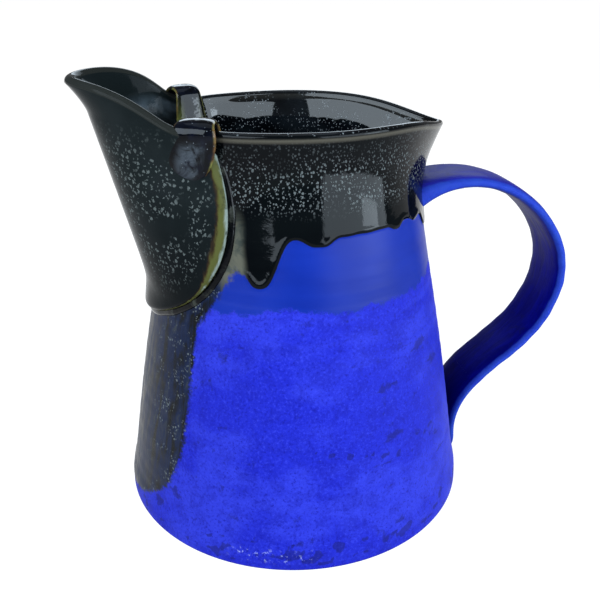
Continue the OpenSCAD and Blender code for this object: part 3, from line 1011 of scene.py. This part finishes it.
def slab_material():
    """Black glaze on the slab, a shade duller, with long pale crystals, an amber edge whose palest
    rim is partly a painted highlight, and a painted reflection in the throat.
    """
    n = Nodes("black_slab_glaze", 0.12, 0.018)
    down = n.value("down")
    drift = n.wobbled(2.2, n.unrolled(RIDGE_FOOT, 1.25))
    crystals = n.flat_dots(drift, (2.1, 1.3, 0.60), (1.5, 0.8, 0.45), 0.8)
    crystals = n.times(crystals, n.value("snow"))
    clouds = n.step(n.noise(24, 3, 0.5), 0.35, 0.7)
    black = n.color(clouds, (0.0042, 0.0060, 0.0064), (0.0068, 0.0090, 0.0096))
    black = n.color(n.step(n.place()["Z"], 185, 120, 0.0, 0.6), black, INK)
    colour = n.color(n.times(crystals, 0.62), black, (0.078, 0.090, 0.087))

    # painted reflection: a pale blue-grey cloud inside the spout, in its throat
    throat = n.times(n.step(down, -0.34, -0.55), n.step(n.noise(26, 4, 0.6, warp=0.4), 0.32, 0.66))
    colour = n.color(n.times(throat, 0.9), colour, (0.046, 0.060, 0.072))

    # towards its edge the glaze thins from black through brown to olive; the palest, cream step at
    # the very edge is partly the glaze breaking thin and partly a painted highlight on the rounded
    # edge
    streak = n.centred_noise(5, 4, 0.65, n.stretched(1.0, 1.0, 0.35), warp=0.6)
    edge = n.muladd(streak, 0.95, n.value("edge"))
    shown = n.step(edge, 0.08, 0.42)
    tone = n.color(n.step(edge, 0.18, 0.46), (0.028, 0.013, 0.005), (0.045, 0.048, 0.014))
    tone = n.color(n.step(edge, 0.66, 0.95), tone, (0.15, 0.18, 0.165))
    tone = n.color(n.times(n.step(n.noise(7, 3, 0.6), 0.54, 0.66), 0.7), tone, (0.010, 0.010, 0.005))
    colour = n.color(shown, colour, tone)
    lip = n.times(n.step(down, 0.012, -0.03), n.step(down, -0.16, -0.10))
    colour = n.color(n.times(lip, 0.25), colour, (0.030, 0.028, 0.022))
    n.set("Base Color", colour)
    rough = n.muladd(crystals, 0.25, n.step(down, -0.05, 0.1, 0.07, 0.17))
    n.set("Roughness", n.muladd(shown, -0.06, rough))
    relief = n.muladd(crystals, 0.4, n.times(n.noise(12, 2, 0.5), 2.0))
    n.set("Normal", n.bump(relief, 0.12, 0.7))
    return n.material


def seam_material():
    n = Nodes("black_seam_glaze", 0.06, 0.09)
    along = n.noise(8, 4, 0.6, warp=0.5)
    colour = n.color(n.step(along, 0.52, 0.70), INK, (0.020, 0.022, 0.018))
    n.set("Base Color", colour)
    n.set("Roughness", n.step(along, 0.3, 0.8, 0.05, 0.16))
    n.set("Normal", n.bump(n.noise(3, 3, 0.6), 0.25, 0.5))
    return n.material


def clip_material():
    """Black glaze with a blue cast in its depth, worn brown and olive along the edges."""
    n = Nodes("black_clip_glaze", 0.05, 0.12)
    across, along = n.math("ABSOLUTE", n.value("across")), n.value("along")
    depth = n.noise(7, 3, 0.55)
    colour = n.color(n.step(depth, 0.40, 0.66), INK, (0.0016, 0.0024, 0.0055))
    # painted reflection: a pale blue-grey cloud across the middle of the tongue
    tongue = n.times(n.step(along, 0.62, 0.72), n.step(along, 0.99, 0.9))
    full = n.times(n.step(across, 0.75, 0.2), tongue)
    tongue_reflection = n.times(n.step(n.noise(6, 5, 0.65, warp=0.8), 0.36, 0.60), full)
    colour = n.color(n.times(tongue_reflection, 0.8), colour, (0.034, 0.041, 0.050))
    dust = n.dots(1.3, 0.5, 0.4)
    colour = n.color(n.times(dust, 0.4), colour, (0.15, 0.17, 0.19))
    rim = n.step(n.add(across, n.times(n.centred_noise(5, 3, 0.6), 0.10)), 0.88, 0.985)
    worn = n.times(rim, n.step(n.noise(6, 3, 0.6), 0.36, 0.58))
    tint = n.step(n.noise(9, 2, 0.5), 0.42, 0.58)
    worn_colour = n.color(tint, (0.11, 0.055, 0.020), (0.13, 0.13, 0.035))
    colour = n.color(n.times(worn, 0.75), colour, worn_colour)
    trickle = n.step(n.noise(6, 4, 0.6, n.stretched(1, 1, 0.3)), 0.42, 0.60)
    end = n.times(n.times(n.step(along, 0.35, 0.05), trickle), n.step(across, 0.35, 0.8))
    n.set("Base Color", n.color(n.times(end, 0.75), colour, (0.085, 0.095, 0.022)))
    n.set("Roughness", n.add(0.05, n.times(dust, 0.2)))
    n.set("Normal", n.bump(n.noise(6, 2, 0.5), 0.45, 0.5))
    return n.material


def handle_material():
    """The blue on the pulled strap: dry and pale on its edges, dark and satin on its faces. The side
    facing in towards the pot is darker still, which is painted shade, and the edges' paleness is
    partly a painted highlight.
    """
    n = Nodes("blue_handle_glaze", 0.5, 0.025)
    across, through = n.math("ABSOLUTE", n.value("across")), n.value("through")
    colour, patches, grain = matte_blue(n, n.noise(30, 3, 0.55))
    pull = n.noise(9, 4, 0.6, n.stretched(0.5, 2.2, 0.5), warp=0.5)
    face = n.color(n.step(pull, 0.36, 0.66), (0.0060, 0.0070, 0.14), (0.0100, 0.0115, 0.20))
    # painted shade: a darker blue for the side of the strap that faces in towards the pot and down
    inner = n.color(n.step(pull, 0.38, 0.66), (0.0003, 0.0006, 0.080), (0.0006, 0.0012, 0.125))
    face = n.color(n.step(through, 0.2, -0.2), inner, face)
    blotch = n.step(n.noise(5, 5, 0.7, warp=1.0), 0.56, 0.62)
    blotch = n.times(blotch, n.step(n.noise(22, 2, 0.5), 0.5, 0.6))
    face = n.color(n.times(blotch, 0.6), face, (0.003, 0.003, 0.05))
    border = n.add(across, n.times(n.centred_noise(4, 4, 0.6), 0.06))
    on_edge = n.step(border, 0.84, 0.93)
    # the dry blue on the edges, mixed paler: partly the glaze's own breaking, partly a painted
    # highlight along the edges
    colour = n.color(n.step(patches, 0.25, 0.75, 0.45, 0.85), colour, (0.013, 0.036, 0.22))
    n.set("Base Color", n.color(on_edge, face, colour))
    n.set("Roughness", n.muladd(on_edge, 0.16, n.step(pull, 0.3, 0.8, 0.36, 0.48)))
    normal = n.bump(n.add(grain, patches), 0.08, 0.7)
    n.set("Normal", n.bump(pull, 0.30, 0.5, normal))
    return n.material


def floor_material():
    n = Nodes("pale_floor", 0.9, 0.0)
    soft = n.noise(60, 3, 0.5)
    n.set("Base Color", n.color(n.step(soft, 0.3, 0.7), (0.11, 0.11, 0.11), (0.13, 0.13, 0.13)))
    n.set("Roughness", n.step(n.noise(2, 2, 0.5), 0.3, 0.7, 0.85, 0.95))
    n.set("Emission Color", (1.0, 1.0, 1.0))
    n.set("Emission Strength", 0.98)
    return n.material


# ---- Studio: its places and sizes are in metres ----

FLOOR_HALF, FLOOR_COLUMNS, FLOOR_GAP = 9.0, 24, 0.0004

# Each panel's turn right of the front, rise, size and radiance
SOFTBOXES = {
    "right_softbox": (44, 11, (1.16, 0.62), 10.0),
    "right_glow": (57, 6, (0.26, 0.18), 15.0),
    "left_softbox": (-54, 25, (1.10, 0.62), 11.0),
    "top_softbox": (0, 88, (0.80, 0.80), 1.2),
    "back_softbox": (165, 24, (0.90, 0.34), 4.5),
}
SOFTBOX_COLOUR, COLLAR_H = (0.76, 0.89, 1.0), 0.17
WORLD_COLOUR, WORLD_STRENGTH = (0.97, 0.985, 1.0, 1), 0.2

CAMERA_TURN, CAMERA_PITCH = 12, 24.69
CAMERA_BACK, CAMERA_ASIDE, CAMERA_H = 0.361, 0.0033, 0.266
CAMERA_LENS, CAMERA_SENSOR = 45, 36  # in mm


def make_floor():
    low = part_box("body")[0][2]
    line = np.linspace(-FLOOR_HALF, FLOOR_HALF, FLOOR_COLUMNS)
    x, y = np.meshgrid(line, line, indexing="ij")
    points = np.stack([x.ravel(), y.ravel(), np.full(x.size, low - FLOOR_GAP)], -1) / MM
    floor = make_mesh("floor", points, [grid_faces(FLOOR_COLUMNS, FLOOR_COLUMNS, False)])
    if floor.data.polygons[0].normal.z < 0:
        floor.data.flip_normals()
    floor.data.materials.append(floor_material())


def make_softbox(name, turn, rise, size, radiance):
    """A soft panel a metre from the pot's collar, turn degrees right of the front and rise up."""
    collar = Vector((0, 0, COLLAR_H))
    out = Vector((sin_deg(turn) * cos_deg(rise), -cos_deg(turn) * cos_deg(rise), sin_deg(rise)))
    data = bpy.data.lights.new(name, "AREA")
    data.shape = "RECTANGLE"
    data.size, data.size_y = size
    data.energy = radiance * math.pi * size[0] * size[1]
    data.color = SOFTBOX_COLOUR
    light = bpy.data.objects.new(name, data)
    light.location = collar + out
    light.rotation_euler = out.to_track_quat("Z", "Y").to_euler()
    bpy.context.scene.collection.objects.link(light)


def make_world():
    world = bpy.data.worlds.new("studio")
    world.use_nodes = True
    bpy.context.scene.world = world
    back = world.node_tree.nodes["Background"]
    back.inputs["Color"].default_value = WORLD_COLOUR
    back.inputs["Strength"].default_value = WORLD_STRENGTH


def make_camera():
    """From a little above and close by, with the spout on the left and the handle on the right."""
    turn, pitch = math.radians(CAMERA_TURN), math.radians(CAMERA_PITCH)
    level = Vector((math.sin(turn), math.cos(turn), 0))
    right = Vector((math.cos(turn), -math.sin(turn), 0))
    ahead = level * math.cos(pitch) - Vector((0, 0, math.sin(pitch)))
    data = bpy.data.cameras.new("camera")
    data.lens, data.sensor_width = CAMERA_LENS, CAMERA_SENSOR
    data.clip_start, data.clip_end = 0.01, 50
    camera = bpy.data.objects.new("camera", data)
    camera.location = level * -CAMERA_BACK + right * CAMERA_ASIDE + Vector((0, 0, CAMERA_H))
    camera.rotation_euler = ahead.to_track_quat("-Z", "Y").to_euler()
    bpy.context.scene.collection.objects.link(camera)
    bpy.context.scene.camera = camera


def give_materials(pot):
    """The outside, the liner and the bare foot are three materials on one skin."""
    for material in (pot_material(), liner_material(), foot_material()):
        pot.data.materials.append(material)
    inside = value_of(pot, "inside")
    picks = []
    for face in pot.data.polygons:
        if face.center.z / MM < 0.3:
            picks.append(2)
        else:
            picks.append(int(min(inside[v] for v in face.vertices) > 0.5))
    pot.data.polygons.foreach_set("material_index", picks)


def dress(piece, material, slot, *nodes):
    """Gives a piece its material, if it has none yet, hangs it under the root, and hides the CAD
    parts that it stands for.
    """
    if material:
        piece.data.materials.clear()
        piece.data.materials.append(material)
    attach(piece, "root")
    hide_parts(*nodes)


def main():
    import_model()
    block = wall_block()
    pot = make_pot()
    give_materials(pot)
    dress(pot, None, "blue_matte_glaze", "body", "outer_glaze")
    clip_look, handle_look = clip_material(), handle_material()
    dress(make_slab(block), slab_material(), "black_gloss_glaze", "spout")
    dress(make_seam(), seam_material(), "black_gloss_glaze", "spout_joint")
    dress(make_clip("left_fold", 1), clip_look, "black_gloss_glaze", "left_clip")
    dress(make_clip("right_fold", -1), clip_look, "black_gloss_glaze", "right_clip")
    dress(make_handle(block), handle_look, "blue_matte_glaze", "handle")
    top_seam = make_fillet("handle_top_seam", 0.5, 4.5, 0.5, 6.0, 0, block)
    dress(top_seam, handle_look, "blue_matte_glaze", "handle_top_joint")
    foot_seam = make_fillet("handle_foot_seam", 31, 36, 36, 3.0, FOOT_TAIL, block)
    dress(foot_seam, handle_look, "blue_matte_glaze", "handle_foot_joint")
    drop(block)

    make_floor()
    make_world()
    for name, (turn, rise, size, radiance) in SOFTBOXES.items():
        make_softbox(name, turn, rise, size, radiance)
    make_camera()
    bpy.context.scene.view_settings.view_transform = "Standard"


main()
